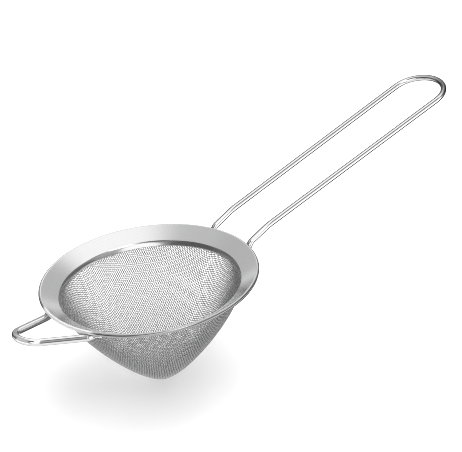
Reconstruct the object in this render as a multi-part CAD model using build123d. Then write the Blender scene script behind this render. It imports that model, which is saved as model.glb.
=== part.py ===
from build123d import *
import math
import os

# Fine-mesh hand strainer, upright: the rim's mouth opens up (+Z), the woven
# basket hangs below it, the handle runs out along +X and the rest loop along -X.
# Origin: centre of the plane that touches the top of the rolled lip.
# All lengths in millimetres, angles in degrees where the name ends in _deg.

# ---- rim: pressed conical flange with collar and rolled lip -----------------
rim_outer_r = 42.5        # outermost radius of the rolled lip
sheet_t = 0.35            # pressed sheet of the flange
cone_deg = 30.5           # flange slope, measured from horizontal
crest_r = 35.45           # radius at which the flange turns down into the collar
crest_bend_r = 1.0        # top-side radius of that crease
collar_top_deg = 52.0     # collar slope just below the crease
collar_low_deg = 73.0     # collar slope at its lower edge
collar_arc_r = 5.4        # the collar's own gentle curve, top side
collar_edge_bulge = 0.45  # rounding of the lower edge, as a share of the sheet
lip_return = 0.95         # how far the curl runs back in under the ring
lip_land = 0.30           # width of the flat land on top of the lip

# ---- clamp ring: flat-coned washer that traps the cloth ---------------------
ring_t = 0.30
ring_inner_r = 38.94      # inner edge, on its lower side

# ---- woven basket: plain weave cloth, modelled as its envelope --------------
cloth_t = 0.46
basket_depth = 45.2       # lip plane to the lowest point of the cloth
# outer side of the cloth below the collar: (radius, z)
basket_outer = [
    (34.74, -7.05), (34.28, -8.45), (32.75, -11.75), (29.9, -16.4), (26.1, -21.75),
    (21.65, -27.35), (16.85, -32.75), (11.95, -37.65), (7.35, -41.50),
]
tip_r = 6.3               # outside radius of the rounded tip
tip_edge_r = 3.0          # radius at which the side runs into the tip
tip_flat_angle = 0.08     # radians; inside this the very end is a small flat disc
inner_spans = 30          # spans between the points of the cloth's inner side

# ---- handle: one round wire bent to a long U --------------------------------
handle_wire_r = 1.2
handle_root_half_w = 10.6         # half spacing of the legs at the rim
handle_end_r = 11.55              # centre-line radius of the U at the end
handle_spread = 0.12              # share of the widening reached at the third bend
handle_root = (41.1, -2.80)       # (x, z) where the round wire begins, under the lip
handle_dip = (41.75, -2.43)       # (x, z) of the first bend, near the lip's outer edge
handle_rise = (43.1, -0.57)       # (x, z) of the second bend, level with the lip
handle_bend = (52.8, 2.6)         # (x, z) of the third bend, where the slope eases
handle_end = (159.3, 20.83)       # (x, z) of the centre line at the tip of the U
handle_bend_radii = (2.5, 3.0, 28.0)   # first, second and third bend
handle_tab_r = 37.0               # rim radius at which the flattened ends stop
handle_tab_w = 3.3
handle_tab_t = 1.0

# ---- rest loop: one round wire bent to a V with a rounded nose --------------
loop_wire_r = 1.4
loop_half_w = 14.05       # half spacing at the flattened ends
loop_root_x = -34.35      # tips of the flattened ends
loop_nose_x = -61.8       # centre line at the nose
loop_nose_z = 2.4
loop_nose_r = 7.07
loop_tab_w = 3.7
loop_tab_t = 1.1
loop_cross_deg = 17.2     # bearing off -X that sets where the loop passes under the lip
loop_tilt_deg = 14.6      # leg slope allowed for in the clearance under the lip
loop_lip_gap = 0.10       # clearance between wire and lip
loop_round_start = 0.9    # distance beyond the lip crossing where the wire is round

# ---- flattened wire ends ----------------------------------------------------
# lengths are shares of the plan distance from the tab's tip to the round wire
# tab: (share of length, share of half width, share of half thickness)
tab_profile = [
    (0.0, 0.22, 0.55), (0.02, 0.42, 0.78), (0.05, 0.62, 0.92), (0.09, 0.78, 1.0),
    (0.14, 0.90, 1.0), (0.20, 0.97, 1.0), (0.27, 1.0, 1.0), (0.44, 1.0, 1.0),
]
# shoulder: (share of length, blend from the tab's section to the round wire)
shoulder_profile = [(0.53, 0.22), (0.61, 0.42), (0.70, 0.58), (0.80, 0.76), (0.90, 0.92)]
shoulder_start = 0.44     # share of length where the shoulder starts to drop
shoulder_run = 0.20       # share of length over which it drops
shoulder_gap = 0.10       # drop beyond one sheet thickness
ease_start = 0.62         # share of length where it eases over to the leg's line
ease_run = 0.38

gap = 0.02                # welded and clamped faces are drawn this far apart

# ---- section frame of the rim -----------------------------------------------
# (s, depth): s runs outward along the flange from the lip's centre, depth is
# measured below the flange's top surface, square to it.
cone_cos = math.cos(math.radians(cone_deg))
cone_sin = math.sin(math.radians(cone_deg))
lip_r = (2 * sheet_t + cloth_t + ring_t + 3 * gap) / 2
lip_centre_r, lip_centre_z = rim_outer_r - lip_r, -lip_r

# depths of the stacked faces
cloth_top = sheet_t + gap
cloth_under = cloth_top + cloth_t
ring_top = cloth_under + gap
ring_under = ring_top + ring_t
tab_top = ring_under + gap
stack_end_s = -0.10       # cloth and ring stop here, inside the curl

# the land is a chord across the top of the curl; every rim part is lifted by
# the sliver it cuts off, so that the land lies at z = 0
half_land = lip_land / 2
land_drop = lip_r - math.sqrt(lip_r ** 2 - half_land ** 2)


def section_point(s, depth):
    """(radius, z) of rim coordinates (s, depth)."""
    return (lip_centre_r + s * cone_cos + (depth - lip_r) * cone_sin,
            lip_centre_z + s * cone_sin - (depth - lip_r) * cone_cos)


def cone_z(radius, depth=0.0):
    """Height at a radius of the cone that lies depth below the flange's top."""
    start_r, start_z = section_point(0, depth)
    return start_z - (start_r - radius) * cone_sin / cone_cos


def curl_point(radius, deg):
    """Point on the curl, deg clockwise from straight up in the section."""
    angle = math.radians(deg)
    return (lip_centre_r + radius * math.sin(angle), lip_centre_z + radius * math.cos(angle))


def arc_point(centre, radius, deg):
    """Point of an arc where the sheet descends inward at deg."""
    angle = math.radians(deg)
    return (centre[0] - radius * math.sin(angle), centre[1] + radius * math.cos(angle))


# Centres of the crease and collar arcs: the sheet runs inward down the cone,
# creases, and curves on down the collar. A negative radius steps to the underside.
crease_centre = arc_point((crest_r, cone_z(crest_r)), -crest_bend_r, cone_deg)
crease_end = arc_point(crease_centre, crest_bend_r, collar_top_deg)
collar_centre = arc_point(crease_end, -collar_arc_r, collar_top_deg)


def layer(depth):
    """Start, middle and end of the crease, then middle and end of the collar,
    for the surface that lies depth below the top side."""
    crease_r, collar_r = crest_bend_r - depth, collar_arc_r - depth
    return [
        arc_point(crease_centre, crease_r, cone_deg),
        arc_point(crease_centre, crease_r, (cone_deg + collar_top_deg) / 2),
        arc_point(crease_centre, crease_r, collar_top_deg),
        arc_point(collar_centre, collar_r, (collar_top_deg + collar_low_deg) / 2),
        arc_point(collar_centre, collar_r, collar_low_deg),
    ]


def layer_arcs(points):
    """The two arcs through a layer's points, in the order given."""
    return [ThreePointArc(*points[:3]), ThreePointArc(*points[2:])]


def revolve_rim_section(edges):
    face = make_face(Wire(edges))
    return Pos(0, 0, land_drop) * revolve(Plane.XZ * face, Axis.Z, 360)


# ---- revolved parts ---------------------------------------------------------
def make_rim_flange():
    top, under = layer(0.0), layer(sheet_t)
    curl_in_r = lip_r - sheet_t
    land_deg = math.degrees(math.asin(half_land / lip_r))
    start_deg, end_deg = -cone_deg, 180 - cone_deg
    outer_start = curl_point(lip_r, start_deg)
    outer_end = curl_point(lip_r, end_deg)
    inner_start = curl_point(curl_in_r, start_deg)
    inner_end = curl_point(curl_in_r, end_deg)
    land_in, land_out = curl_point(lip_r, -land_deg), curl_point(lip_r, land_deg)
    return_low = section_point(-lip_return, 2 * lip_r)
    return_tip = section_point(-lip_return - sheet_t / 2, 2 * lip_r - sheet_t / 2)
    return_high = section_point(-lip_return, 2 * lip_r - sheet_t)

    # rounded lower edge of the collar
    edge_mid = arc_point(collar_centre, collar_arc_r - sheet_t / 2, collar_low_deg)
    edge_angle = math.radians(collar_low_deg)
    bulge = collar_edge_bulge * sheet_t
    edge_tip = (edge_mid[0] - bulge * math.cos(edge_angle),
                edge_mid[1] - bulge * math.sin(edge_angle))

    return revolve_rim_section([
        Line(top[0], outer_start),
        ThreePointArc(outer_start, curl_point(lip_r, (start_deg - land_deg) / 2), land_in),
        Line(land_in, land_out),
        ThreePointArc(land_out, curl_point(lip_r, 90), outer_end),
        Line(outer_end, return_low),
        ThreePointArc(return_low, return_tip, return_high),
        Line(return_high, inner_end),
        ThreePointArc(inner_end, curl_point(curl_in_r, 60), inner_start),
        Line(inner_start, under[0]),
        *layer_arcs(under),
        ThreePointArc(under[4], edge_tip, top[4]),
        *layer_arcs(top[::-1]),
    ])


def tip_point(radius, angle):
    """Point on the basket's rounded tip, angle in radians from straight down."""
    return (radius * math.sin(angle), tip_r - basket_depth - radius * math.cos(angle))


def make_mesh_basket():
    inner_layer, outer_layer = layer(cloth_top), layer(cloth_under)
    side_angle = math.asin(tip_edge_r / tip_r)
    tip_inner_r = tip_r - cloth_t
    outer_tip = tip_point(tip_r, side_angle)
    inner_tip = tip_point(tip_inner_r, side_angle)
    outer_side = Spline(outer_layer[4], *basket_outer, outer_tip)

    # the inner side is the outer one set in by the cloth's thickness
    inner_points = [inner_layer[4]]
    for k in range(1, inner_spans):
        point = outer_side @ (k / inner_spans)
        tangent = outer_side % (k / inner_spans)
        normal_r, normal_z = tangent.Y, -tangent.X
        if normal_r > 0:
            normal_r, normal_z = -normal_r, -normal_z
        inner_points.append((point.X + normal_r * cloth_t, point.Y + normal_z * cloth_t))
    inner_points.append(inner_tip)

    inner_flat = tip_point(tip_inner_r, tip_flat_angle)
    outer_flat = tip_point(tip_r, tip_flat_angle)
    inner_axis, outer_axis = (0, inner_flat[1]), (0, outer_flat[1])
    inner_end = section_point(stack_end_s, cloth_top)
    outer_end = section_point(stack_end_s, cloth_under)
    return revolve_rim_section([
        Line(inner_end, inner_layer[0]),
        *layer_arcs(inner_layer),
        Spline(*inner_points),
        ThreePointArc(inner_tip, tip_point(tip_inner_r, side_angle / 2), inner_flat),
        Line(inner_flat, inner_axis),
        Line(inner_axis, outer_axis),
        Line(outer_axis, outer_flat),
        ThreePointArc(outer_flat, tip_point(tip_r, side_angle / 2), outer_tip),
        outer_side,
        *layer_arcs(outer_layer[::-1]),
        Line(outer_layer[0], outer_end),
        Line(outer_end, inner_end),
    ])


def make_clamp_ring():
    inner_s = (ring_inner_r - section_point(0, ring_under)[0]) / cone_cos
    top_out, top_in = section_point(stack_end_s, ring_top), section_point(inner_s, ring_top)
    low_out, low_in = section_point(stack_end_s, ring_under), section_point(inner_s, ring_under)
    inner_edge = section_point(inner_s - ring_t / 2, (ring_top + ring_under) / 2)
    return revolve_rim_section([
        Line(top_out, top_in),
        ThreePointArc(top_in, inner_edge, low_in),
        Line(low_in, low_out),
        Line(low_out, top_out),
    ])


# ---- wires ------------------------------------------------------------------
# A station is (centre, direction or None, normal, half width, half thickness);
# None takes the direction from the neighbouring centres.
def weld_frame(x, y):
    """Point just under the clamp ring at (x, y), and its downward normal."""
    radius = math.hypot(x, y)
    normal = Vector(cone_sin * x / radius, cone_sin * y / radius, -cone_cos)
    return Vector(x, y, cone_z(radius, tab_top) + land_drop), normal


def tab_stations(root, start, direction, wire_r, tab_w, tab_t):
    """Flattened weld end, from its tip at root (x, y) to the round wire at start."""
    root_x, root_y = root
    span_x, span_y = start.X - root_x, start.Y - root_y
    length = math.hypot(span_x, span_y)
    half_w, half_t = tab_w / 2, tab_t / 2
    stations = []
    for along, width_share, thick_share in tab_profile:
        point, normal = weld_frame(root_x + span_x * along, root_y + span_y * along)
        stations.append((point + normal * half_t, None, normal,
                         half_w * width_share, half_t * thick_share))

    # the shoulder drops clear of the curl's return, which hangs one sheet lower
    for along, blend in shoulder_profile:
        width = half_w * (1 - blend) + wire_r * blend
        thick = half_t * (1 - blend) + wire_r * blend
        point, normal = weld_frame(root_x + span_x * along, root_y + span_y * along)
        drop = (sheet_t + shoulder_gap) * min(1.0, (along - shoulder_start) / shoulder_run)
        under_ring = point + normal * (thick + drop)
        # ease over to the straight run of the leg
        ease = max(0.0, min(1.0, (along - ease_start) / ease_run))
        back = length * (1 - along) / math.hypot(direction.X, direction.Y)
        on_line = start - direction * back
        stations.append((under_ring * (1 - ease) + on_line * ease, None, normal, width, thick))
    return stations


def bend_stations(before, corner, after, bend_r, normal, wire_r, steps=5):
    """Round wire through the rounded bend at corner."""
    dir_in, dir_out = (corner - before).normalized(), (after - corner).normalized()
    turn = math.acos(max(-1, min(1, dir_in.dot(dir_out))))
    inward = (dir_out - dir_in * dir_in.dot(dir_out)).normalized()
    start = corner - dir_in * (bend_r * math.tan(turn / 2))
    stations = []
    for k in range(steps + 1):
        angle = turn * k / steps
        centre = (start + dir_in * (bend_r * math.sin(angle))
                  + inward * (bend_r * (1 - math.cos(angle))))
        direction = dir_in * math.cos(angle) + inward * math.sin(angle)
        stations.append((centre, direction, normal, wire_r, wire_r))
    return stations


def tangent_point(start_s, start_y, centre_s, radius):
    """Where a line from (start_s, start_y) touches the circle about (centre_s, 0)."""
    ds, dy = centre_s - start_s, -start_y
    distance = math.hypot(ds, dy)
    heading = math.atan2(dy, ds) + math.asin(radius / distance)
    length = math.sqrt(distance * distance - radius ** 2)
    return start_s + length * math.cos(heading), start_y + length * math.sin(heading)


def plane_point(base, along, s, y):
    """Point s along a wire's sloping plane from base, and y to the side."""
    return base + along * s + Vector(0, y, 0)


def round_end_stations(base, along, centre_s, radius, touch, normal, wire_r, steps):
    """Round wire from the tangent point touch (s, y) to the end's tip at y = 0."""
    touch_angle = math.atan2(touch[1], touch[0] - centre_s)
    stations = []
    for k in range(steps + 1):
        angle = touch_angle * (1 - k / steps)
        centre = plane_point(base, along, centre_s + radius * math.cos(angle),
                             radius * math.sin(angle))
        direction = along * math.sin(angle) + Vector(0, -math.cos(angle), 0)
        stations.append((centre, direction.normalized(), normal, wire_r, wire_r))
    return stations


def wire_solid(stations):
    """Ruled loft through the stations of the +Y half and their mirror images."""
    def mirrored(v):
        return Vector(v.X, -v.Y, v.Z)

    centres = [station[0] for station in stations]
    last = len(centres) - 1
    full = []
    for k, (centre, direction, normal, width, thick) in enumerate(stations):
        if direction is None:
            direction = (centres[min(k + 1, last)] - centres[max(k - 1, 0)]).normalized()
        full.append((centre, direction, normal, width, thick))
    full += [(mirrored(centre), mirrored(direction) * -1, mirrored(normal), width, thick)
             for centre, direction, normal, width, thick in reversed(full[:-1])]

    faces = []
    for centre, direction, normal, width, thick in full:
        normal = (normal - direction * normal.dot(direction)).normalized()
        plane = Plane(origin=centre, x_dir=normal.cross(direction), z_dir=direction)
        # the width stays a hair larger, so that it is always the major axis
        faces.append(plane * Ellipse(max(width, thick * 1.0001), thick))
    return loft(faces, ruled=True)


def make_handle_wire():
    """Legs from under the lip, three bends, a long straight run and the U."""
    normal = Vector(0.3, 0, -1)
    bend_x, bend_z = handle_bend
    rise_x, rise_z = handle_end[0] - bend_x, handle_end[1] - bend_z
    slope = math.atan2(rise_z, rise_x)
    along = Vector(math.cos(slope), 0, math.sin(slope))
    base = Vector(bend_x, 0, bend_z)
    centre_s = math.hypot(rise_x, rise_z) - handle_end_r
    bend_y = handle_root_half_w + handle_spread * (handle_end_r - handle_root_half_w)
    touch = tangent_point(0, bend_y, centre_s, handle_end_r)

    # the legs spread evenly from the rim to the third bend
    spread_slope = (bend_y - handle_root_half_w) / (bend_x - rim_outer_r)
    path = [Vector(x, handle_root_half_w + (x - rim_outer_r) * spread_slope, z)
            for x, z in (handle_root, handle_dip, handle_rise, handle_bend)]
    path.append(plane_point(base, along, *touch))

    leg_dir = (path[1] - path[0]).normalized()
    root = (math.sqrt(handle_tab_r ** 2 - handle_root_half_w ** 2), handle_root_half_w)
    stations = tab_stations(root, path[0], leg_dir, handle_wire_r, handle_tab_w, handle_tab_t)
    stations.append((path[0], leg_dir, normal, handle_wire_r, handle_wire_r))
    for k, bend_r in enumerate(handle_bend_radii):
        stations += bend_stations(*path[k:k + 3], bend_r, normal, handle_wire_r)
    stations += round_end_stations(base, along, centre_s, handle_end_r, touch,
                                   normal, handle_wire_r, steps=16)
    return wire_solid(stations)


def make_rest_loop():
    """Legs converge from the flattened ends to a rounded nose."""
    normal = Vector(-0.3, 0, -1)
    # the wire's plane passes just under the lip
    cross_x = -lip_centre_r * math.cos(math.radians(loop_cross_deg))
    centre_drop = lip_r + loop_wire_r + loop_lip_gap
    cross_z = lip_centre_z + land_drop - centre_drop / math.cos(math.radians(loop_tilt_deg))
    run_x, run_z = cross_x - loop_nose_x, loop_nose_z - cross_z
    slope = math.atan2(run_z, run_x)
    along = Vector(-math.cos(slope), 0, math.sin(slope))
    base = Vector(cross_x, 0, cross_z)

    centre_s = math.hypot(run_z, run_x) - loop_nose_r
    root_s = (loop_root_x - cross_x) / along.X
    touch = tangent_point(root_s, loop_half_w, centre_s, loop_nose_r)
    share = (loop_round_start - root_s) / (touch[0] - root_s)
    start_y = loop_half_w + share * (touch[1] - loop_half_w)
    start = plane_point(base, along, loop_round_start, start_y)
    leg_dir = (plane_point(base, along, *touch) - start).normalized()

    stations = tab_stations((loop_root_x, loop_half_w), start, leg_dir,
                            loop_wire_r, loop_tab_w, loop_tab_t)
    stations.append((start, leg_dir, normal, loop_wire_r, loop_wire_r))
    stations += round_end_stations(base, along, centre_s, loop_nose_r, touch,
                                   normal, loop_wire_r, steps=14)
    return wire_solid(stations)


# ---- export -----------------------------------------------------------------
os.makedirs("parts", exist_ok=True)
export_step(make_rim_flange(), "parts/rim_flange.step")
export_step(make_clamp_ring(), "parts/clamp_ring.step")
export_step(make_mesh_basket(), "parts/mesh_basket.step")
export_step(make_handle_wire(), "parts/handle_wire.step")
export_step(make_rest_loop(), "parts/rest_loop.step")
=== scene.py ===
"""Conical wire-cloth strainer with a bent-wire handle and a rest loop.

The rim is centred on the Z axis with its lip near z = 0. The basket hangs below
it, the handle runs out to +X and the rest loop to -X. Sizes are in millimetres
unless noted; meshes, lights and camera are in metres.
"""
import bpy
import math
import numpy as np
from mathutils import Matrix, Vector


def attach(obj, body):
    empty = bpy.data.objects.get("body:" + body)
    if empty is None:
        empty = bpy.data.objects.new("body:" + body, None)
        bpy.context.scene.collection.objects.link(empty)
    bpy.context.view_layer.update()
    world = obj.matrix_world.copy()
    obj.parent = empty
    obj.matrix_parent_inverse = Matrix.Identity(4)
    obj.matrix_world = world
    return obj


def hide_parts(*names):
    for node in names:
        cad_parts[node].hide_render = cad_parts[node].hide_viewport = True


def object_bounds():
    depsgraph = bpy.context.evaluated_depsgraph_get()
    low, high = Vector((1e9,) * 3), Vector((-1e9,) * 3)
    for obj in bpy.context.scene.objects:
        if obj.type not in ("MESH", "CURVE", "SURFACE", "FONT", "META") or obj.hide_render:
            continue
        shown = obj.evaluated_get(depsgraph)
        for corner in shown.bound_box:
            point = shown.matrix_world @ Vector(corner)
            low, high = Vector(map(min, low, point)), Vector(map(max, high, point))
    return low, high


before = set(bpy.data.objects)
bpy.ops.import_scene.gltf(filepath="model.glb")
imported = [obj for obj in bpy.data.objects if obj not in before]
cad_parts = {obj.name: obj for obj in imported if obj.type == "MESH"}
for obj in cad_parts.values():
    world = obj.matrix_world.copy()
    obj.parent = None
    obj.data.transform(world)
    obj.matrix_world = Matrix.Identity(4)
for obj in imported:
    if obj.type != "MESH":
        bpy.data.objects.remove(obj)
cad_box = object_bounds()

MM = 0.001

# ------------------------------------------------------------------------------
# Driving dimensions of the rim's section
# ------------------------------------------------------------------------------
RIM_R = 42.5
SHEET = 0.35                    # thickness of the flange sheet
CLOTH = 0.46                    # thickness of the cloth
RING = 0.30                     # thickness of the clamp ring
GAP = 0.02                      # between stacked layers
CONE = math.radians(30.5)       # slope of the flange, which rises outwards
CONE_COS, CONE_SIN = math.cos(CONE), math.sin(CONE)
CONE_NORMAL = math.pi / 2 + CONE
CREASE_START_R = 35.45
CREASE_BEND = 1.0               # radius of the crease between flange and collar
COLLAR_TOP = math.radians(52.0)         # slope of the collar's section at its top
COLLAR_BOTTOM = math.radians(73.0)      # and at its lower edge
COLLAR_ARC = 5.4                # radius of the collar's section
LIP_RETURN = 0.95               # length of sheet turned back under the ring
LAND = 0.15                     # half width of the lip where it crosses z = 0
RING_INNER_R = 38.94
INNER_STOP = -0.10              # where ring and cloth end, along the cone from the lip's centre
RIM_SEGMENTS = 300

# the lip curls round flange, cloth and ring
LIP_R = (2 * SHEET + CLOTH + RING + 3 * GAP) / 2
LIFT = LIP_R - math.sqrt(LIP_R ** 2 - LAND ** 2)
LIP_CENTRE = (RIM_R - LIP_R, -LIP_R + LIFT)

# depths below the flange's top side
CLOTH_MIDDLE = SHEET + GAP + CLOTH / 2
CLOTH_UNDER = SHEET + GAP + CLOTH
RING_TOP = SHEET + 2 * GAP + CLOTH
RING_UNDER = RING_TOP + RING


def on_cone(along, depth):
    """(r, z) at a distance outwards along the cone from the lip's centre and a
    depth below the flange's top side."""
    return (LIP_CENTRE[0] + along * CONE_COS + (depth - LIP_R) * CONE_SIN,
            LIP_CENTRE[1] + along * CONE_SIN - (depth - LIP_R) * CONE_COS)


def cone_z(r, depth=0.0):
    """Height of the cone at a radius, at a depth below its top side."""
    near_r, near_z = on_cone(0, depth)
    return near_z - (near_r - r) * (CONE_SIN / CONE_COS)


def below(slope):
    """Unit (r, z) vector from the top side into a sheet of this slope."""
    return np.array([math.sin(slope), -math.cos(slope)])


CREASE_CENTRE = np.array([CREASE_START_R, cone_z(CREASE_START_R)]) + CREASE_BEND * below(CONE)
COLLAR_CENTRE = (CREASE_CENTRE - CREASE_BEND * below(COLLAR_TOP)
                 + COLLAR_ARC * below(COLLAR_TOP))


def collar_run(depth, crease_points, collar_points):
    """Points at a depth below the top side, from the crease's start on the cone
    down to the collar's lower edge."""
    points = [CREASE_CENTRE - (CREASE_BEND - depth) * below(a)
              for a in np.linspace(CONE, COLLAR_TOP, crease_points)]
    points += [COLLAR_CENTRE - (COLLAR_ARC - depth) * below(a)
               for a in np.linspace(COLLAR_TOP, COLLAR_BOTTOM, collar_points)[1:]]
    return [tuple(p) for p in points]


# ------------------------------------------------------------------------------
# Mesh helpers
# ------------------------------------------------------------------------------
def make_mesh(name, verts, quads, tris=()):
    """Smooth mesh object from arrays of vertices (in mm), quads and triangles."""
    mesh = bpy.data.meshes.new(name)
    verts = np.asarray(verts * MM, np.float32)
    mesh.vertices.add(len(verts))
    mesh.vertices.foreach_set("co", verts.ravel())
    quads = np.asarray(quads, np.int32)
    tris = np.asarray(tris, np.int32).reshape(-1, 3)
    corners = np.concatenate([quads.ravel(), tris.ravel()]).astype(np.int32)
    mesh.loops.add(len(corners))
    mesh.loops.foreach_set("vertex_index", corners)
    totals = np.repeat([4, 3], [len(quads), len(tris)]).astype(np.int32)
    starts = np.concatenate([[0], np.cumsum(totals)[:-1]]).astype(np.int32)
    mesh.polygons.add(len(totals))
    mesh.polygons.foreach_set("loop_start", starts)
    mesh.polygons.foreach_set("loop_total", totals)
    mesh.polygons.foreach_set("use_smooth", np.ones(len(totals), bool))
    mesh.update(calc_edges=True)
    mesh.validate(verbose=False)
    ob = bpy.data.objects.new(name, mesh)
    bpy.context.scene.collection.objects.link(ob)
    return ob


def grid_quads(rows, cols, close_rows=False):
    """Quads over rows of vertices; each row is a closed loop of cols vertices."""
    i = np.arange(rows if close_rows else rows - 1)[:, None]
    j = np.arange(cols)[None, :]
    i_next, j_next = (i + 1) % rows, (j + 1) % cols
    return np.stack([i * cols + j, i_next * cols + j, i_next * cols + j_next, i * cols + j_next],
                    -1).reshape(-1, 4)


def revolve(name, profile):
    """Closed ring swept round Z from a closed (r, z) profile, its faces outward
    whichever way the profile runs."""
    r, z = np.asarray(profile, float).T
    turn = np.linspace(0, 2 * math.pi, RIM_SEGMENTS, endpoint=False)[:, None]
    x = r * np.cos(turn)
    y = r * np.sin(turn)
    verts = np.stack([x, y, np.broadcast_to(z, x.shape)], -1).reshape(-1, 3)
    quads = grid_quads(RIM_SEGMENTS, len(r), close_rows=True)
    if np.sum(r * np.roll(z, -1) - np.roll(r, -1) * z) < 0:
        quads = quads[:, ::-1]
    return make_mesh(name, verts, quads)


def arc(centre, radius, start, end, pieces):
    """Points on an arc between two angles, the first left out."""
    return [(centre[0] + radius * math.cos(a), centre[1] + radius * math.sin(a))
            for a in np.linspace(start, end, pieces + 1)[1:]]


def run(start, end, pieces):
    """Points on a straight line, the first left out."""
    return [(start[0] + (end[0] - start[0]) * k / pieces,
             start[1] + (end[1] - start[1]) * k / pieces) for k in range(1, pieces + 1)]


def unit_rows(vectors):
    return vectors / np.linalg.norm(vectors, axis=1)[:, None]


def line_frame(points, normals):
    """Unit tangents along a line of points, and the normals squared to them."""
    tangents = unit_rows(np.gradient(points, axis=0))
    return tangents, unit_rows(normals - tangents * np.sum(normals * tangents, axis=1)[:, None])


# ------------------------------------------------------------------------------
# Shader node helpers
# ------------------------------------------------------------------------------
def set_inputs(tree, node, inputs):
    """Fill inputs by name or index: an output socket is linked, a value is set."""
    for key, value in inputs.items():
        if isinstance(value, bpy.types.NodeSocket):
            tree.links.new(value, node.inputs[key])
        else:
            node.inputs[key].default_value = value


def add_node(tree, kind, inputs=None, **settings):
    node = tree.nodes.new(kind)
    for name, value in settings.items():
        setattr(node, name, value)
    set_inputs(tree, node, inputs or {})
    return node


def math_node(tree, operation, *values):
    return add_node(tree, "ShaderNodeMath", dict(enumerate(values)), operation=operation).outputs[0]


def map_range(tree, value, source, result=(0.0, 1.0), smooth=True):
    """Map the source range onto the result range, by default with soft ends."""
    inputs = {"Value": value, "From Min": source[0], "From Max": source[1],
              "To Min": result[0], "To Max": result[1]}
    kind = "SMOOTHSTEP" if smooth else "LINEAR"
    return add_node(tree, "ShaderNodeMapRange", inputs, interpolation_type=kind).outputs[0]


def mix_floats(tree, factor, first, second):
    # inputs 2 and 3 are the mix node's float pair
    return add_node(tree, "ShaderNodeMix", {0: factor, 2: first, 3: second},
                    data_type="FLOAT").outputs[0]


def noise(tree, vector, **inputs):
    inputs["Vector"] = vector
    return add_node(tree, "ShaderNodeTexNoise", inputs).outputs["Fac"]


def ramp(tree, factor, stops):
    """Colour ramp with two stops, each (position, rgb)."""
    node = add_node(tree, "ShaderNodeValToRGB", {0: factor})
    for element, (position, colour) in zip(node.color_ramp.elements, stops):
        element.position = position
        element.color = (*colour, 1)
    return node.outputs[0]


def fine_bump(tree, height, strength):
    return add_node(tree, "ShaderNodeBump", {"Strength": strength, "Distance": 0.00001,
                                             "Height": height}).outputs[0]


def new_material(name):
    """Material holding a Principled shader: (material, tree, shader)."""
    material = bpy.data.materials.new(name)
    material.use_nodes = True
    tree = material.node_tree
    tree.nodes.clear()
    output = tree.nodes.new("ShaderNodeOutputMaterial")
    shader = tree.nodes.new("ShaderNodeBsdfPrincipled")
    tree.links.new(shader.outputs[0], output.inputs[0])
    return material, tree, shader


# ------------------------------------------------------------------------------
# Materials (shader coordinates are in metres and radians)
# ------------------------------------------------------------------------------
SHEET_COLOUR = (0.80, 0.80, 0.805)
WIRE_COLOUR = (0.84, 0.84, 0.845)
# painted shade: the cloth's steel is given about half the colour of the wire steel, standing in for
# the dim reflections in the weave
SHADED_CLOTH_COLOUR = (0.46, 0.46, 0.465)
GROOVES_PER_M = 5200.0          # how fast the turned grooves change across radius and height
GROOVE_DRIFT = 1.1              # how fast they change round the axis
BLOTCH_ROUGH = 0.06             # spread of roughness from the broad blotches


def sheet_material(name, rough, streak, bump, lip_shade_tone=1.0, lit_lip_patch=False):
    """Turned stainless sheet: grooves that run round the axis, anisotropic sheen and faint
    blotches. streak is the spread of roughness from the grooves; the lip tone value paints shade on
    the rolled edge, and the lip patch flag paints a pale highlight on it between the rest loop's
    legs."""
    material, tree, shader = new_material(name)
    position = add_node(tree, "ShaderNodeTexCoord").outputs["Object"]
    x, y, z = add_node(tree, "ShaderNodeSeparateXYZ", {0: position}).outputs
    angle = math_node(tree, "ARCTAN2", y, x)
    flat = add_node(tree, "ShaderNodeCombineXYZ", {0: x, 1: y}).outputs[0]
    radius = add_node(tree, "ShaderNodeVectorMath", {0: flat}, operation="LENGTH").outputs["Value"]

    stretched = add_node(tree, "ShaderNodeCombineXYZ", {
        0: math_node(tree, "MULTIPLY", radius, GROOVES_PER_M),
        1: math_node(tree, "MULTIPLY", angle, GROOVE_DRIFT),
        2: math_node(tree, "MULTIPLY", z, GROOVES_PER_M)}).outputs[0]
    grooves = noise(tree, stretched, Scale=1.0, Detail=4.0, Roughness=0.6)
    blotches = noise(tree, position, Scale=70.0, Detail=3.0)
    blotched = math_node(tree, "MULTIPLY_ADD", blotches, BLOTCH_ROUGH,
                         rough - streak / 2 - BLOTCH_ROUGH / 2)
    roughness = math_node(tree, "MULTIPLY_ADD", grooves, streak, blotched)
    colour = ramp(tree, grooves, [(0.30, [c * 0.975 for c in SHEET_COLOUR]),
                                  (0.70, [min(1, c * 1.01) for c in SHEET_COLOUR])])

    # painted shade: the rolled edge is darkened, standing in for the dark floor and shadow it
    # reflects
    lip = map_range(tree, radius, (0.0414, 0.0422), (1.0, lip_shade_tone))
    # painted highlight: between the legs of the rest loop the edge loses the painted shade and is
    # made less metallic, so it reads as a pale satin patch
    turn = math_node(tree, "ABSOLUTE", angle)
    painted_lip_light = map_range(tree, turn, (2.73, 2.83), (0.0, 1.0 if lit_lip_patch else 0.0))
    tone = mix_floats(tree, painted_lip_light, lip, 1.0)
    toned = add_node(tree, "ShaderNodeVectorMath", {0: colour, "Scale": tone},
                     operation="SCALE").outputs[0]
    edge = map_range(tree, radius, (0.0414, 0.0420))
    lit_lip_edge = math_node(tree, "MULTIPLY", painted_lip_light, edge)
    metallic = map_range(tree, lit_lip_edge, (0.0, 1.0), (1.0, 0.4), smooth=False)
    tangent = add_node(tree, "ShaderNodeTangent", direction_type="RADIAL", axis="Z").outputs[0]
    set_inputs(tree, shader, {
        "Base Color": toned, "Roughness": roughness, "Metallic": metallic,
        "Anisotropic": 0.55, "Tangent": tangent, "Normal": fine_bump(tree, grooves, bump)})
    return material


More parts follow.
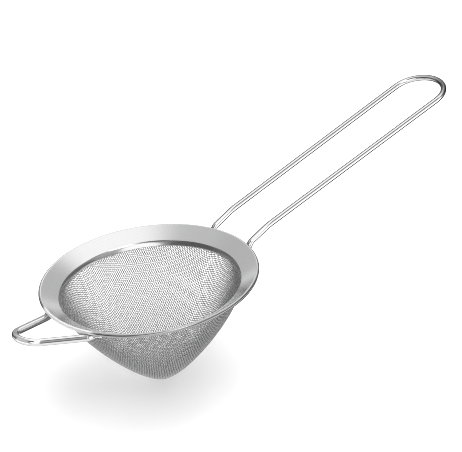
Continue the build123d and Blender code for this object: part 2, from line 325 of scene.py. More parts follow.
def wire_material(name, outline_shade_start, outline_shade_end, outline_shade_tone, rough=0.05):
    """Drawn and polished wire with faint die lines along X. The edge values set where, in facing
    angle, painted shade darkens its outline, and to what tone."""
    material, tree, shader = new_material(name)
    position = add_node(tree, "ShaderNodeTexCoord").outputs["Object"]
    stretched = add_node(tree, "ShaderNodeMapping", {"Scale": (60.0, 1800.0, 1800.0),
                                                     "Vector": position}).outputs[0]
    lines = noise(tree, stretched, Scale=1.0, Detail=3.0)
    broad = noise(tree, position, Scale=160.0, Detail=2.0)
    roughness = map_range(tree, broad, (0.0, 1.0), (rough * 0.7, rough * 1.5), smooth=False)
    colour = ramp(tree, lines, [(0.30, [c * 0.95 for c in WIRE_COLOUR]), (0.70, WIRE_COLOUR)])
    # painted shade: the outline of a polished wire is darkened by facing angle, standing in for the
    # dark reflections at its edges
    facing = add_node(tree, "ShaderNodeLayerWeight", {"Blend": 0.5}).outputs["Facing"]
    edge = ramp(tree, facing, [(outline_shade_start, (1.0,) * 3), (outline_shade_end, (outline_shade_tone,) * 3)])
    # inputs 6 and 7 are the mix node's colour pair, output 2 its colour
    toned = add_node(tree, "ShaderNodeMix", {0: 1.0, 6: colour, 7: edge},
                     data_type="RGBA", blend_type="MULTIPLY").outputs[2]
    set_inputs(tree, shader, {"Base Color": toned, "Roughness": roughness, "Metallic": 1.0,
                              "Normal": fine_bump(tree, lines, 0.12)})
    return material


def cloth_material():
    material, tree, shader = new_material("cloth_wire")
    set_inputs(tree, shader, {"Metallic": 1.0, "Base Color": (*SHADED_CLOTH_COLOUR, 1),
                              "Roughness": 0.12})
    return material


def floor_material():
    """Pale paper, lit evenly out to the horizon, away from the lights."""
    material, tree, shader = new_material("floor_paper")
    position = add_node(tree, "ShaderNodeTexCoord").outputs["Object"]
    distance = add_node(tree, "ShaderNodeVectorMath", {0: position},
                        operation="LENGTH").outputs["Value"]
    set_inputs(tree, shader, {
        "Base Color": (0.90, 0.90, 0.90, 1), "Roughness": 0.6, "Specular IOR Level": 0.2,
        "Emission Strength": map_range(tree, distance, (0.35, 1.3), (0.0, 0.9)),
        "Emission Color": (1, 1, 1, 1)})
    return material


RIM_STEEL = sheet_material("rim_steel", rough=0.17, streak=0.05, bump=0.06,
                           lip_shade_tone=0.55, lit_lip_patch=True)
RING_STEEL = sheet_material("ring_steel", rough=0.20, streak=0.06, bump=0.08)
HANDLE_STEEL = wire_material("handle_steel", outline_shade_start=0.28, outline_shade_end=0.50, outline_shade_tone=0.12)
LOOP_STEEL = wire_material("loop_steel", outline_shade_start=0.45, outline_shade_end=0.78, outline_shade_tone=0.30)
CLOTH_STEEL = cloth_material()


def dress(ob, material, slot, *nodes):
    """Give a piece its material, hang it on the root body and hide the model's parts that it
    replaces.
    """
    ob.data.materials.append(material)
    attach(ob, "root")
    if nodes:
        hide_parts(*nodes)


# ------------------------------------------------------------------------------
# Rim: cone, crease, collar and rolled lip as one thin sheet, and the clamp ring
# ------------------------------------------------------------------------------
def rim_profile():
    # collar's inner face, bottom to top, then the crease
    points = collar_run(0.0, 8, 14)[::-1]
    # cone, top side, then the outside of the curl
    curl_start = (LIP_CENTRE[0] + LIP_R * math.cos(CONE_NORMAL),
                  LIP_CENTRE[1] + LIP_R * math.sin(CONE_NORMAL))
    points += run(points[-1], curl_start, 10)
    points += arc(LIP_CENTRE, LIP_R, CONE_NORMAL, CONE_NORMAL - math.pi, 29)
    # return under the ring, with a rounded end
    points += run(points[-1], on_cone(-LIP_RETURN, 2 * LIP_R), 3)
    points += arc(on_cone(-LIP_RETURN, 2 * LIP_R - SHEET / 2), SHEET / 2,
                  CONE_NORMAL - math.pi, CONE_NORMAL - 2 * math.pi, 6)
    # inside of the curl
    inner_r = LIP_R - SHEET
    curl_end = (LIP_CENTRE[0] + inner_r * math.cos(CONE_NORMAL - math.pi),
                LIP_CENTRE[1] + inner_r * math.sin(CONE_NORMAL - math.pi))
    points += run(points[-1], curl_end, 3)
    points += arc(LIP_CENTRE, inner_r, CONE_NORMAL - math.pi, CONE_NORMAL, 15)
    # cone, underside, then the collar's outer face
    under = collar_run(SHEET, 6, 12)
    points += run(points[-1], under[0], 8)
    points += under[1:]
    # rounded lower edge
    outer, inner = np.array(under[-1]), np.array(points[0])
    middle = (outer + inner) / 2
    along = np.array([-math.cos(COLLAR_BOTTOM), -math.sin(COLLAR_BOTTOM)])
    for k in range(1, 7):
        t = math.pi * k / 7
        points.append(tuple(middle + (outer - middle) * math.cos(t)
                            + along * (SHEET * 0.45) * math.sin(t)))
    return points


def ring_profile():
    inner = (RING_INNER_R - on_cone(0, RING_UNDER)[0]) / CONE_COS
    points = [on_cone(INNER_STOP, RING_TOP)]
    points += run(points[-1], on_cone(inner, RING_TOP), 6)
    points += arc(on_cone(inner, (RING_TOP + RING_UNDER) / 2), RING / 2,
                  CONE_NORMAL, CONE_NORMAL + math.pi, 6)
    points += run(points[-1], on_cone(INNER_STOP, RING_UNDER), 6)
    return points


# ------------------------------------------------------------------------------
# Basket: plain-weave cloth draped over the basket's form, wire by wire
# ------------------------------------------------------------------------------
CLOTH_WIRE_R = 0.125
PITCH = 0.87                    # 30 mesh
WEAVE_TURN = math.radians(9.0)  # turn of the weave about Z
BASKET_DEPTH = 45.2
TIP_R = 6.3                     # radius of the rounded tip
TIP_EDGE_R = 3.0                # where the tip meets the side
OVERRUN = 2.5                   # extra form past the cloth's edge, so the net can reach over it
FORM_STEP = 0.02                # spacing of the form's samples along its section
SMOOTH_WIDTH = 9                # samples in the smoothing window
SAMPLES_PER_PITCH = 4
CLOTH_SIDES = 5
MIDDLE_BAND = 14                # wires either side of the centre in the middle piece

# outer face of the basket's side below the collar: (r, z before the lip's lift)
BASKET_SIDE = [
    (34.74, -7.05), (34.28, -8.45), (32.75, -11.75), (29.9, -16.4), (26.1, -21.75),
    (21.65, -27.35), (16.85, -32.75), (11.95, -37.65), (7.35, -41.50),
]


def lengths_along(points):
    return np.concatenate([[0], np.cumsum(np.hypot(*np.diff(points, axis=0).T))])


def natural_spline(points, per):
    """C2 spline through (r, z) points, chord-length parameter, natural ends."""
    p = np.asarray(points, float)
    count = len(p)
    h = np.diff(lengths_along(p))
    matrix = np.zeros((count, count))
    right = np.zeros((count, 2))
    matrix[0, 0] = matrix[-1, -1] = 1
    for k in range(1, count - 1):
        matrix[k, k - 1:k + 2] = h[k - 1], 2 * (h[k - 1] + h[k]), h[k]
        right[k] = 6 * ((p[k + 1] - p[k]) / h[k] - (p[k] - p[k - 1]) / h[k - 1])
    bend = np.linalg.solve(matrix, right)       # second derivatives at the points
    out = []
    for k in range(count - 1):
        u = np.linspace(0, h[k], per, endpoint=False)[:, None]
        out.append(bend[k] * (h[k] - u) ** 3 / (6 * h[k]) + bend[k + 1] * u ** 3 / (6 * h[k])
                   + (p[k] / h[k] - bend[k] * h[k] / 6) * (h[k] - u)
                   + (p[k + 1] / h[k] - bend[k + 1] * h[k] / 6) * u)
    out.append(p[-1:])
    return np.concatenate(out)


def cloth_section():
    """(r, z) points of the cloth's middle surface, from the tip outwards."""
    tip_z = -BASKET_DEPTH + TIP_R + LIFT
    tip_angle = math.asin(TIP_EDGE_R / TIP_R)
    side = [collar_run(CLOTH_UNDER, 3, 3)[-1]]
    side += [(r, z + LIFT) for r, z in BASKET_SIDE]
    side.append((TIP_EDGE_R, tip_z - TIP_R * math.cos(tip_angle)))
    tip = np.array([(TIP_R * math.sin(a), tip_z - TIP_R * math.cos(a))
                    for a in np.linspace(0, tip_angle, 40)[:-1]])
    outer = np.concatenate([tip, natural_spline(side, 40)[::-1]])
    # offset from the outer face to the middle of the cloth
    along = np.gradient(outer, axis=0)
    along /= np.hypot(*along.T)[:, None]
    middle = outer + CLOTH / 2 * np.stack([-along[:, 1], along[:, 0]], -1)
    middle[0, 0] = 0.0
    collar = np.array(collar_run(CLOTH_MIDDLE, 12, 40)[::-1])
    end = np.array(on_cone(INNER_STOP + OVERRUN, CLOTH_MIDDLE))
    cone = np.array([collar[-1] + (end - collar[-1]) * k / 40 for k in range(1, 41)])
    return np.concatenate([middle[:-1], collar, cone])


def smoothed(values, mirror):
    """Two passes of a moving average; the start is mirrored, times mirror, and
    the end carried on straight."""
    width = SMOOTH_WIDTH
    for _ in range(2):
        padded = np.concatenate([mirror * values[1:width][::-1], values,
                                 values[-1] + (values[-1] - values[-2]) * np.arange(1, width)])
        averaged = np.convolve(padded, np.ones(width) / width, "same")
        values = averaged[width - 1:width - 1 + len(values)]
    return values


class ClothForm:
    """The section's middle surface at even steps of length s from the tip, with
    its slopes by s. The cloth's edge is at s = end."""

    def __init__(self):
        points = cloth_section()
        lengths = lengths_along(points)
        self.s = np.arange(0, lengths[-1], FORM_STEP)
        self.r = smoothed(np.interp(self.s, lengths, points[:, 0]), -1)
        self.z = smoothed(np.interp(self.s, lengths, points[:, 1]), 1)
        self.r[0] = 0.0
        self.end = lengths[-1] - OVERRUN
        self.dr = np.gradient(self.r, FORM_STEP)
        self.dz = np.gradient(self.z, FORM_STEP)
        self.rows = np.stack([self.r, self.z, self.dr, self.dz], -1).tolist()

    def at(self, s):
        """(r, z, dr, dz) at length s."""
        step = s / FORM_STEP
        k = min(max(int(step), 0), len(self.rows) - 2)
        return [a + (b - a) * (step - k) for a, b in zip(self.rows[k], self.rows[k + 1])]


def meeting_node(form, first, second, opposite):
    """Newton search for the point of the form one pitch from two nodes, away
    from the node opposite. Returns (x, y, z, s), or None if it isn't found."""
    s = first[3] + second[3] - opposite[3]
    angle = math.atan2(first[1] + second[1] - opposite[1], first[0] + second[0] - opposite[0])
    for _ in range(14):
        r, z, dr, dz = form.at(s)
        c, sn = math.cos(angle), math.sin(angle)
        x, y = r * c, r * sn
        ax, ay, az = x - first[0], y - first[1], z - first[2]
        bx, by, bz = x - second[0], y - second[1], z - second[2]
        miss_a = ax * ax + ay * ay + az * az - PITCH * PITCH
        miss_b = bx * bx + by * by + bz * bz - PITCH * PITCH
        # slopes of the misses by s and by angle
        a_s = 2 * (ax * dr * c + ay * dr * sn + az * dz)
        a_angle = 2 * (-ax * y + ay * x)
        b_s = 2 * (bx * dr * c + by * dr * sn + bz * dz)
        b_angle = 2 * (-bx * y + by * x)
        det = a_s * b_angle - a_angle * b_s
        if abs(det) < 1e-12:
            return None
        step_s = max(-0.5, min(0.5, (miss_a * b_angle - miss_b * a_angle) / det))
        step_angle = max(-0.3, min(0.3, (miss_b * a_s - miss_a * b_s) / det))
        s -= step_s
        angle -= step_angle
        if abs(step_s) < 1e-7 and abs(step_angle) < 1e-9:
            r, z, _, _ = form.at(s)
            return (r * math.cos(angle), r * math.sin(angle), z, s)
    return None


def cloth_net(form):
    """One quadrant of a net of equal chords on the form, its two axes along
    meridians at right angles: {(i, j): (x, y, z, s)} and the axis' node count."""
    stop = form.end + 1.6 * PITCH
    s = 0.0
    axis = [(0.0, 0.0, float(form.z[0]), s)]
    while s < stop:
        last_r, _, last_z, _ = axis[-1]
        s += PITCH
        for _ in range(12):
            r, z, dr, dz = form.at(s)
            miss = (r - last_r) ** 2 + (z - last_z) ** 2 - PITCH * PITCH
            s -= miss / (2 * ((r - last_r) * dr + (z - last_z) * dz))
        r, z, _, _ = form.at(s)
        axis.append((r, 0.0, z, s))
    net = {(i, 0): node for i, node in enumerate(axis)}
    for j, (r, _, z, s) in enumerate(axis):
        net[(0, j)] = (0.0, r, z, s)
    # the quadrant is symmetric, so each node found also gives its mirror image
    for i in range(1, len(axis)):
        for j in range(1, i + 1):
            known = [net.get(key) for key in ((i - 1, j), (i, j - 1), (i - 1, j - 1))]
            if None in known:
                break
            node = meeting_node(form, *known)
            if node is None or node[3] > stop + PITCH:
                break
            x, y, z, s = node
            net[(i, j)] = node
            net[(j, i)] = (y, x, z, s)
            if s > stop:
                break
    return net, len(axis)


def wire_nodes(form, net, count, i):
    """Net nodes of wire i from edge to edge, with their j numbers, or None where
    the wire would be too short."""
    half = []
    for j in range(count):
        node = net.get((abs(i), j))
        if node is None:
            break
        half.append(node)
        if node[3] > form.end + 0.4:
            break
    if len(half) < 2 or half[0][3] > form.end - 0.3:
        return None
    half = np.array(half)
    mirrored = half[1:][::-1].copy()
    mirrored[:, 1] *= -1
    nodes = np.concatenate([mirrored, half])
    if i < 0:
        nodes[:, 0] *= -1
    return nodes, np.arange(1 - len(half), len(half))


def catmull_rom(points, numbers):
    """Samples between the points, and their running numbers."""
    ext = np.concatenate([2 * points[:1] - points[1:2], points, 2 * points[-1:] - points[-2:-1]])
    t = (np.arange(SAMPLES_PER_PITCH) / SAMPLES_PER_PITCH)[:, None]
    samples = []
    running = []
    for k in range(len(points) - 1):
        p0, p1, p2, p3 = ext[k:k + 4]
        samples.append(0.5 * (2 * p1 + (p2 - p0) * t + (2 * p0 - 5 * p1 + 4 * p2 - p3) * t ** 2
                              + (3 * p1 - p0 - 3 * p2 + p3) * t ** 3))
        running.append(numbers[k] + t[:, 0])
    return np.concatenate(samples + [points[-1:]]), np.concatenate(running + [numbers[-1:]])


def turn_weave(vectors, family):
    """Swap x and y for the second family, then turn the weave about Z."""
    if family:
        vectors = vectors[:, [1, 0, 2]]
    x, y, z = vectors.T
    c, s = math.cos(WEAVE_TURN), math.sin(WEAVE_TURN)
    return np.stack([x * c - y * s, x * s + y * c, z], -1)


def cloth_wire(form, nodes, numbers, i, family):
    """Centres, normals and side vectors along one wire, or None if nearly all of
    it lies past the cloth's edge."""
    points, running = catmull_rom(nodes[:, :3], numbers)
    s = np.interp(running, numbers, nodes[:, 3])
    inside = s <= form.end
    if inside.sum() < 4:
        return None
    kept = slice(np.argmax(inside), len(inside) - np.argmax(inside[::-1]))
    points, running, s = points[kept], running[kept], s[kept]
    # surface normal, pointing out and down
    r = np.hypot(points[:, 0], points[:, 1])
    dr = np.interp(s, form.s, form.dr)
    dz = np.interp(s, form.s, form.dz)
    length = np.hypot(dr, dz)
    dr, dz = dr / length, dz / length
    safe_r = np.maximum(r, 1e-6)
    out_x = np.where(r < 1e-5, 0, points[:, 0] / safe_r)
    out_y = np.where(r < 1e-5, 0, points[:, 1] / safe_r)
    normals = np.stack([dz * out_x, dz * out_y, -dr], -1)
    # over one crossing wire and under the next
    side = np.cos(math.pi * (running + i)) * (-1.0 if family else 1.0)
    centres = points + normals * (CLOTH_WIRE_R * side)[:, None]
    centres = turn_weave(centres, family)
    tangents, normals = line_frame(centres, turn_weave(normals, family))
    return centres, normals, np.cross(tangents, normals)


def cloth_mesh(name, wires):
    """One mesh of many capped tubes."""
    turn = np.arange(CLOTH_SIDES) / CLOTH_SIDES * 2 * math.pi
    c, s = np.cos(turn)[None, :, None], np.sin(turn)[None, :, None]
    verts, quads, tris = [], [], []
    base = 0
    for centres, normals, sides in wires:
        rings = centres[:, None, :] + CLOTH_WIRE_R * (c * normals[:, None, :]
                                                      + s * sides[:, None, :])
        verts.append(rings.reshape(-1, 3))
        quads.append(base + grid_quads(len(centres), CLOTH_SIDES)[:, [0, 3, 2, 1]])
        last = base + (len(centres) - 1) * CLOTH_SIDES
        tris += [(base, base + k + 1, base + k) for k in range(1, CLOTH_SIDES - 1)]
        tris += [(last, last + k, last + k + 1) for k in range(1, CLOTH_SIDES - 1)]
        base += len(centres) * CLOTH_SIDES
    return make_mesh(name, np.concatenate(verts), np.concatenate(quads), tris)


def build_cloth():
    """Warp and weft, each in three bands side by side."""
    form = ClothForm()
    net, count = cloth_net(form)
    pieces = {}
    for family, family_name in enumerate(("warp", "weft")):
        for i in range(1 - count, count):
            found = wire_nodes(form, net, count, i)
            wire = found and cloth_wire(form, *found, i, family)
            if wire is None:
                continue
            band = "a" if i < -MIDDLE_BAND else ("b" if i <= MIDDLE_BAND else "c")
            pieces.setdefault(f"cloth_{family_name}_{band}", []).append(wire)
    return [cloth_mesh(name, wires) for name, wires in pieces.items()]


# ------------------------------------------------------------------------------
# Wires with flattened, spot-welded ends
#
# A wire is a list of sections: (centre, normal or None, half width, half
# thickness, flatness). Only the half with y > 0 is listed; the rest is mirrored.
# ------------------------------------------------------------------------------
WIRE_SIDES = 28
U_STEPS = 32
# places of the tongue's sections, as fractions from its tip to the round wire
TONGUE_STATIONS = [
    0.0, 0.004, 0.012, 0.025, 0.045, 0.07, 0.10, 0.14, 0.19, 0.25, 0.30, 0.34, 0.38,
    0.42, 0.46, 0.50, 0.54, 0.58, 0.62, 0.66, 0.70, 0.75, 0.80, 0.85, 0.90, 0.95,
]


def unit(v):
    return v / np.linalg.norm(v)


def clamp(v):
    return max(0.0, min(1.0, v))


def ease(v):
    v = clamp(v)
    return v * v * (3 - 2 * v)


def tongue(root, start, direction, wire_r, width, thickness):
    """Flattened end of a wire, from its tip at root (x, y), against the clamp
    ring's underside, to the round wire that begins at start."""
    length = math.hypot(start[0] - root[0], start[1] - root[1])
    step_x, step_y = (start[0] - root[0]) / length, (start[1] - root[1]) / length
    half_w, half_t = width / 2, thickness / 2
    tip_reach = half_w * 1.05 / length
    sections = []
    for f in TONGUE_STATIONS:
        # rounded tip in plan, then parallel sides
        tip_w = 1.0
        if f < tip_reach:
            tip_w = max(0.03, math.sqrt(max(0.0, 1 - (1 - f / tip_reach) ** 2)))
        tip_t = min(1.0, 0.35 + 0.65 * math.sqrt(min(1.0, f / 0.05)))
        # shoulder from flat bar to round wire
        roundness = ease((f - 0.44) / 0.52)
        a = (half_w * (1 - roundness) + wire_r * roundness) * tip_w
        b = (half_t * (1 - roundness) + wire_r * roundness) * tip_t
        # step down to clear the lip's return
        drop = (SHEET + 0.08) * clamp((f - 0.42) / 0.22)
        x, y = root[0] + step_x * length * f, root[1] + step_y * length * f
        r = math.hypot(x, y)
        normal = np.array([CONE_SIN * x / r, CONE_SIN * y / r, -CONE_COS])
        on_ring = np.array([x, y, cone_z(r, RING_UNDER + GAP)])
        pressed = on_ring + normal * ((half_t if f < 0.44 else b) + drop)
        # leave the cone for the line of the round wire
        blend = ease((f - 0.60) / 0.40)
        line = start - direction * (length * (1 - f) / math.hypot(direction[0], direction[1]))
        sections.append((pressed * (1 - blend) + line * blend, normal, a, b, 1 - roundness))
    return sections


def round_sections(points, wire_r):
    return [(p, None, wire_r, wire_r, 0.0) for p in points]


def between(p, q, pieces):
    """Even steps between two points, both left out."""
    return [p + (q - p) * k / pieces for k in range(1, pieces)]


def fillet(p0, p1, p2, radius, steps):
    """Points on the arc that rounds the corner p1."""
    into, out = unit(p1 - p0), unit(p2 - p1)
    angle = math.acos(max(-1, min(1, float(into @ out))))
    normal = unit(out - into * (into @ out))
    start = p1 - into * (radius * math.tan(angle / 2))
    return [start + into * (radius * math.sin(angle * k / steps))
            + normal * (radius * (1 - math.cos(angle * k / steps))) for k in range(steps + 1)]


def tangent_point(leg, centre, radius):
    """Where a straight leg from leg (s, y) touches the U centred at (centre, 0)."""
    ds, dy = centre - leg[0], -leg[1]
    distance = math.hypot(ds, dy)
    angle = math.atan2(dy, ds) + math.asin(radius / distance)
    length = math.sqrt(distance * distance - radius ** 2)
    return leg[0] + length * math.cos(angle), leg[1] + length * math.sin(angle)


def u_turn(place, touch, centre, radius):
    """Points round the U from the touching point to the wire's middle, y = 0."""
    start = math.atan2(touch[1], touch[0] - centre)
    angles = [start * (1 - k / U_STEPS) for k in range(U_STEPS + 1)]
    return [place(centre + radius * math.cos(a), radius * math.sin(a)) for a in angles]


def sloping_plane(origin, direction):
    """Function that places (s, y) in the plane through origin along direction."""
    return lambda s, y: origin + direction * s + np.array([0, y, 0])


def wire_mesh(name, half, default_normal):
    flip = np.array([1, -1, 1.0])
    full = [(c, default_normal if n is None else n, a, b, q) for c, n, a, b, q in half]
    full += [(c * flip, n * flip, a, b, q) for c, n, a, b, q in reversed(full[:-1])]
    centres = np.array([section[0] for section in full])
    tangents, normals = line_frame(centres, np.array([section[1] for section in full], float))
    sides = np.cross(normals, tangents)
    turn = np.arange(WIRE_SIDES) / WIRE_SIDES * 2 * math.pi
    c, s = np.cos(turn), np.sin(turn)
    verts = []
    for k, (_, _, half_w, half_t, flatness) in enumerate(full):
        # superellipse: exponent 2 is round, higher is a flat bar with round edges
        power = 2 / (2.0 + 2.2 * flatness)
        across = half_w * (np.sign(c) * np.abs(c) ** power)
        through = half_t * (np.sign(s) * np.abs(s) ** power)
        verts.append(centres[k] + sides[k] * across[:, None] + normals[k] * through[:, None])
    # the ends close on a centre vertex each
    first_tip = len(full) * WIRE_SIDES
    last = first_tip - WIRE_SIDES
    tris = []
    for k in range(WIRE_SIDES):
        k_next = (k + 1) % WIRE_SIDES
        tris.append((first_tip, k, k_next))
        tris.append((first_tip + 1, last + k_next, last + k))
    return make_mesh(name, np.concatenate(verts + [centres[:1], centres[-1:]]),
                     grid_quads(len(full), WIRE_SIDES), tris)


# Handle
HANDLE_R = 1.2                  # radius of the wire
HANDLE_TONGUE = (3.3, 1.0)      # width and thickness of the flattened end
HANDLE_ROOT_R = 37.0            # distance of the tongue's tip from the axis
HANDLE_RIM_Y = 10.6             # half spacing of the legs at the rim
HANDLE_U_R = 11.55              # radius of the U at the far end
HANDLE_BEND = (52.8, 2.6)       # (x, z) where the long straight begins
HANDLE_END = (159.3, 20.83)     # (x, z) of the far end
# (x, z) corners of the leg's centre line round the lip, up to the bend
HANDLE_CORNERS = [(41.1, -2.80), (41.75, -2.43), (43.1, -0.57), HANDLE_BEND]
# corners after the first: (fillet radius, fillet steps, steps of the straight before it)
HANDLE_FILLETS = [(2.5, 8, 1), (3.0, 10, 2), (28.0, 14, 6)]


def build_handle():
    rise_x, rise_z = HANDLE_END[0] - HANDLE_BEND[0], HANDLE_END[1] - HANDLE_BEND[1]
    slope = math.atan2(rise_z, rise_x)
    place = sloping_plane(np.array([HANDLE_BEND[0], 0, HANDLE_BEND[1]]),
                          np.array([math.cos(slope), 0, math.sin(slope)]))
    bend_y = HANDLE_RIM_Y + 0.12 * (HANDLE_U_R - HANDLE_RIM_Y)
    centre = math.hypot(rise_z, rise_x) - HANDLE_U_R
    touch = tangent_point((0.0, bend_y), centre, HANDLE_U_R)

    spread = (bend_y - HANDLE_RIM_Y) / (HANDLE_BEND[0] - RIM_R)
    path = [np.array([x, HANDLE_RIM_Y + (x - RIM_R) * spread, z]) for x, z in HANDLE_CORNERS]
    path.append(place(*touch))
    points = [path[0]]
    for k, (radius, steps, straight_steps) in enumerate(HANDLE_FILLETS):
        rounded = fillet(path[k], path[k + 1], path[k + 2], radius, steps)
        points += between(points[-1], rounded[0], straight_steps) + rounded
    points += between(points[-1], path[-1], 24)
    points += u_turn(place, touch, centre, HANDLE_U_R)

    root = (math.sqrt(HANDLE_ROOT_R ** 2 - HANDLE_RIM_Y ** 2), HANDLE_RIM_Y)
    half = tongue(root, path[0], unit(path[1] - path[0]), HANDLE_R, *HANDLE_TONGUE)
    return wire_mesh("handle_wire_bent", half + round_sections(points, HANDLE_R),
                     np.array([0.3, 0, -1.0]))


# Rest loop
LOOP_R = 1.4                    # radius of the wire
LOOP_TONGUE = (3.7, 1.1)        # width and thickness of the flattened end
LOOP_ROOT = (-34.35, 14.05)     # (x, y) of the tongue's tip
LOOP_U_R = 7.07                 # radius of the U at the nose
LOOP_NOSE = (-61.8, 2.4)        # (x, z) of the far end
LOOP_CROSSING = math.radians(17.2)      # angle from -X at which a leg passes the lip
LOOP_TILT = math.radians(14.6)          # slope allowed for in the clearance
LOOP_CLEARANCE = 0.10           # between lip and wire
LOOP_START = 0.9                # round wire begins this far beyond the lip's centre


def build_loop():
    lip_x = -LIP_CENTRE[0] * math.cos(LOOP_CROSSING)
    lip_z = LIP_CENTRE[1] - (LIP_R + LOOP_R + LOOP_CLEARANCE) / math.cos(LOOP_TILT)
    rise_x, rise_z = lip_x - LOOP_NOSE[0], LOOP_NOSE[1] - lip_z
    slope = math.atan2(rise_z, rise_x)
    place = sloping_plane(np.array([lip_x, 0, lip_z]),
                          np.array([-math.cos(slope), 0, math.sin(slope)]))
    centre = math.hypot(rise_z, rise_x) - LOOP_U_R
    root_s = (LOOP_ROOT[0] - lip_x) / -math.cos(slope)
    root_y = LOOP_ROOT[1]
    touch = tangent_point((root_s, root_y), centre, LOOP_U_R)

    part = (LOOP_START - root_s) / (touch[0] - root_s)
    start = place(LOOP_START, root_y + part * (touch[1] - root_y))
    leg_end = place(*touch)
    points = [start] + between(start, leg_end, 12) + u_turn(place, touch, centre, LOOP_U_R)
    half = tongue(LOOP_ROOT, start, unit(leg_end - start), LOOP_R, *LOOP_TONGUE)
    return wire_mesh("rest_loop_bent", half + round_sections(points, LOOP_R),
                     np.array([-0.3, 0, -1.0]))


# ------------------------------------------------------------------------------
# Stage: floor, world, lights, camera
# ------------------------------------------------------------------------------
# The camera's yaw, tilt and roll in radians, before it is turned to its aim
VIEW_YAW, VIEW_TILT, VIEW_ROLL = 0.6808241, 0.5388704, -0.1217418
# where the object's origin then lies: right, down and ahead of the camera
ORIGIN_IN_VIEW = (-49.47183, -21.30364, 886.643)
# direction of the middle of the object: right and down for each unit ahead
AIM_IN_VIEW = (-0.02027316, -0.04598547, 1.0)
LENS = 181.22608
LIGHT_TARGET = (0.03, 0, -0.03)

# Spots of the studio: direction (right of the camera, away from it, up), full
# inside this many degrees, gone outside this many, value
UPPER_SPOTS = [
    ((0.00, -0.88, 0.30), 38, 55, 0.33),     # wall behind the camera
    ((-0.75, -0.45, 0.25), 24, 38, 0.11),    # darkest to the left
    ((0.00, 0.85, 0.50), 37, 48, 0.56),      # backdrop
    ((0.08, 0.76, 0.65), 13, 21, 1.2),       # its lit upper part
    ((0.28, 0.12, 0.95), 14, 36, 1.16),      # overhead soft box
    ((-0.05, -0.55, 0.83), 14, 24, 0.15),    # dark patch high behind the camera
    ((0.13, -0.93, 0.33), 22, 27, 1.25),     # soft box under the camera
    ((0.62, -0.12, 0.78), 6, 12, 0.12),      # dark edge beside the overhead box
    ((0.70, -0.50, 0.48), 12, 20, 0.42),     # mid grey to the right
    ((0.36, -0.50, 0.79), 8, 15, 3.2),       # bare lamp
]
LOWER_SPOTS = [
    ((0.90, -0.25, -0.42), 26, 40, 1.25),    # paper under the right-hand soft box
    ((0.62, 0.36, -0.70), 19, 30, 0.08),     # its shaded part
    # dark patches just below the horizon
    ((0.64, -0.76, -0.08), 9, 16, 0.20),
    ((0.47, 0.86, -0.17), 8, 14, 0.14),
    ((-0.46, 0.87, -0.18), 8, 14, 0.12),
    ((0.68, 0.70, -0.13), 8, 15, 0.17),
    ((-0.67, 0.73, -0.08), 8, 15, 0.10),
]


def build_floor():
    floor_z = min(cad_box[0][2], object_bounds()[0][2]) - 0.0002
    bpy.ops.mesh.primitive_grid_add(x_subdivisions=8, y_subdivisions=8, size=6.0,
                                    location=(0, 0, floor_z))
    floor = bpy.context.object
    floor.name = "floor"
    floor.data.materials.append(floor_material())
    floor.visible_glossy = False      # metal reflects the painted studio instead


def paint_spots(tree, direction, painted, spots):
    for towards, inner, outer, value in spots:
        dot = add_node(tree, "ShaderNodeVectorMath",
                       {0: direction, 1: Vector(towards).normalized()},
                       operation="DOT_PRODUCT").outputs["Value"]
        reach = (math.cos(math.radians(outer)), math.cos(math.radians(inner)))
        painted = mix_floats(tree, map_range(tree, dot, reach), painted, value)
    return painted


def build_world():
    """The studio as reflections see it, painted by direction in the camera's
    compass. The camera itself sees a plain pale backdrop."""
    world = bpy.data.worlds.new("studio")
    bpy.context.scene.world = world
    world.use_nodes = True
    tree = world.node_tree
    tree.nodes.clear()
    generated = add_node(tree, "ShaderNodeTexCoord").outputs["Generated"]
    direction = add_node(tree, "ShaderNodeVectorRotate", {"Angle": VIEW_YAW, "Vector": generated},
                         rotation_type="Z_AXIS").outputs[0]
    _, away, up = add_node(tree, "ShaderNodeSeparateXYZ", {0: direction}).outputs

    def band(rise, fall, ahead):
        """Mask between two heights, rising and falling, kept to one side."""
        heights = math_node(tree, "MULTIPLY", map_range(tree, up, rise),
                            map_range(tree, up, fall, (1.0, 0.0)))
        return math_node(tree, "MULTIPLY", heights, map_range(tree, away, ahead))

    # dim walls and a lighter ceiling
    painted = map_range(tree, up, (0.35, 0.80), (0.15, 0.62))
    painted = paint_spots(tree, direction, painted, UPPER_SPOTS)
    # light strip at the foot of the backdrop
    strip = band(rise=(0.03, 0.09), fall=(0.16, 0.26), ahead=(0.87, 0.93))
    painted = mix_floats(tree, strip, painted, 0.80)
    # pale paper below
    paper = map_range(tree, up, (-0.07, -0.02), (1.0, 0.0))
    painted = mix_floats(tree, paper, painted, 0.95)
    painted = paint_spots(tree, direction, painted, LOWER_SPOTS)
    # thin dark line under the strip
    line = band(rise=(-0.10, -0.055), fall=(0.01, 0.05), ahead=(0.35, 0.75))
    painted = mix_floats(tree, line, painted, 0.05)

    camera_ray = add_node(tree, "ShaderNodeLightPath").outputs["Is Camera Ray"]
    seen = mix_floats(tree, camera_ray, painted, 1.0)
    background = add_node(tree, "ShaderNodeBackground", {"Color": seen, "Strength": 1.0})
    add_node(tree, "ShaderNodeOutputWorld", {0: background.outputs[0]})


def area_light(name, location, target, size, power):
    data = bpy.data.lights.new(name, "AREA")
    data.shape = "RECTANGLE"
    data.size = data.size_y = size
    data.energy = power
    light = bpy.data.objects.new(name, data)
    bpy.context.scene.collection.objects.link(light)
    light.location = location
    light.rotation_mode = "QUATERNION"
    towards = Vector(target) - Vector(location)
    light.rotation_quaternion = towards.to_track_quat("-Z", "Y")
    return light


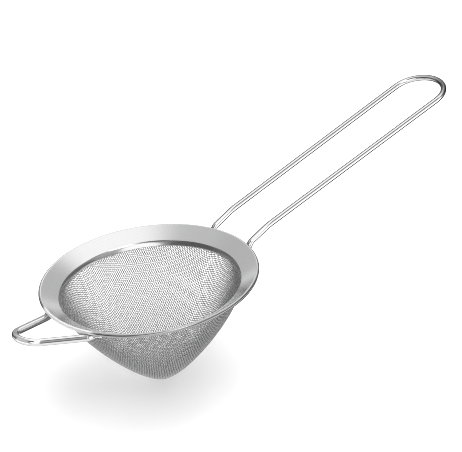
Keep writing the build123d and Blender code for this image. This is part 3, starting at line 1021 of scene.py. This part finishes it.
def wire_light(name, compass, half_angle, brightness, receiver):
    """A soft box a metre off that only one bent wire reflects. compass is its
    direction (right of the camera, away from it, up)."""
    d = Vector(compass).normalized()
    c, s = math.cos(VIEW_YAW), math.sin(VIEW_YAW)
    location = Vector((c * d.x + s * d.y, -s * d.x + c * d.y, d.z))
    size = 2 * math.tan(math.radians(half_angle))
    light = area_light(name, location, (0.0, 0.0, 0.0), size,
                       power=brightness * size * size * math.pi)
    only = bpy.data.collections.new(name + "_on")
    only.objects.link(receiver)
    light.light_linking.receiver_collection = only


def build_lights(handle, loop):
    key = area_light("key", (0.25, -0.35, 1.0), LIGHT_TARGET, size=1.6, power=11.0)
    top = area_light("top", (-0.1, 0.2, 1.3), LIGHT_TARGET, size=2.6, power=17.0)
    for light in (key, top):
        light.visible_glossy = False
    wire_light("loop_left", (-0.82, -0.42, 0.20), half_angle=34, brightness=0.5, receiver=loop)
    wire_light("loop_right", (0.76, 0.55, 0.34), half_angle=27, brightness=0.6, receiver=loop)
    wire_light("handle_right", (0.93, -0.33, 0.02), half_angle=25, brightness=0.6,
               receiver=handle)


def build_camera():
    cy, sy = math.cos(VIEW_YAW), math.sin(VIEW_YAW)
    ct, st = math.cos(VIEW_TILT), math.sin(VIEW_TILT)
    cr, sr = math.cos(VIEW_ROLL), math.sin(VIEW_ROLL)
    yaw = np.array([[cy, -sy, 0], [sy, cy, 0], [0, 0, 1.0]])
    tilt = np.array([[1, 0, 0], [0, -st, -ct], [0, ct, -st]])
    roll = np.array([[cr, -sr, 0], [sr, cr, 0], [0, 0, 1.0]])
    view = roll @ tilt @ yaw                # rows: right, down, ahead
    location = -view.T @ np.array(ORIGIN_IN_VIEW) * MM
    # turned, from the same place, to look at the middle of the object
    aim = unit(np.array(AIM_IN_VIEW))
    x, y, z = np.cross(aim, [0, 0, 1.0])
    skew = np.array([[0, -z, y], [z, 0, -x], [-y, x, 0]])
    right, down, ahead = (np.eye(3) + skew + skew @ skew / (1 + aim[2])) @ view

    data = bpy.data.cameras.new("camera")
    camera = bpy.data.objects.new("camera", data)
    bpy.context.scene.collection.objects.link(camera)
    data.sensor_width = 36.0
    data.sensor_fit = "HORIZONTAL"
    data.lens = LENS
    data.clip_start, data.clip_end = 0.01, 50
    pose = np.eye(4)
    pose[:3] = np.stack([right, -down, -ahead, location], axis=1)
    camera.matrix_world = Matrix(pose.tolist())
    bpy.context.scene.camera = camera


# ------------------------------------------------------------------------------
# Build
# ------------------------------------------------------------------------------
dress(revolve("rim_flange_sheet", rim_profile()), RIM_STEEL, "rim_sheet", "rim_flange")
dress(revolve("clamp_ring_sheet", ring_profile()), RING_STEEL, "ring_sheet", "clamp_ring")
# the first piece of cloth stands in for the whole basket
for number, piece in enumerate(build_cloth()):
    dress(piece, CLOTH_STEEL, "mesh_cloth", *(["mesh_basket"] if number == 0 else []))
handle_wire = build_handle()
dress(handle_wire, HANDLE_STEEL, "handle_steel", "handle_wire")
rest_loop = build_loop()
dress(rest_loop, LOOP_STEEL, "loop_steel", "rest_loop")

build_floor()
build_world()
build_lights(handle_wire, rest_loop)
build_camera()

scene = bpy.context.scene
scene.view_settings.view_transform = "Standard"
# guards against a build without the Cycles renderer
if hasattr(scene, "cycles"):
    scene.cycles.filter_width = 1.0         # keeps the weave crisp
    scene.cycles.denoising_prefilter = "NONE"
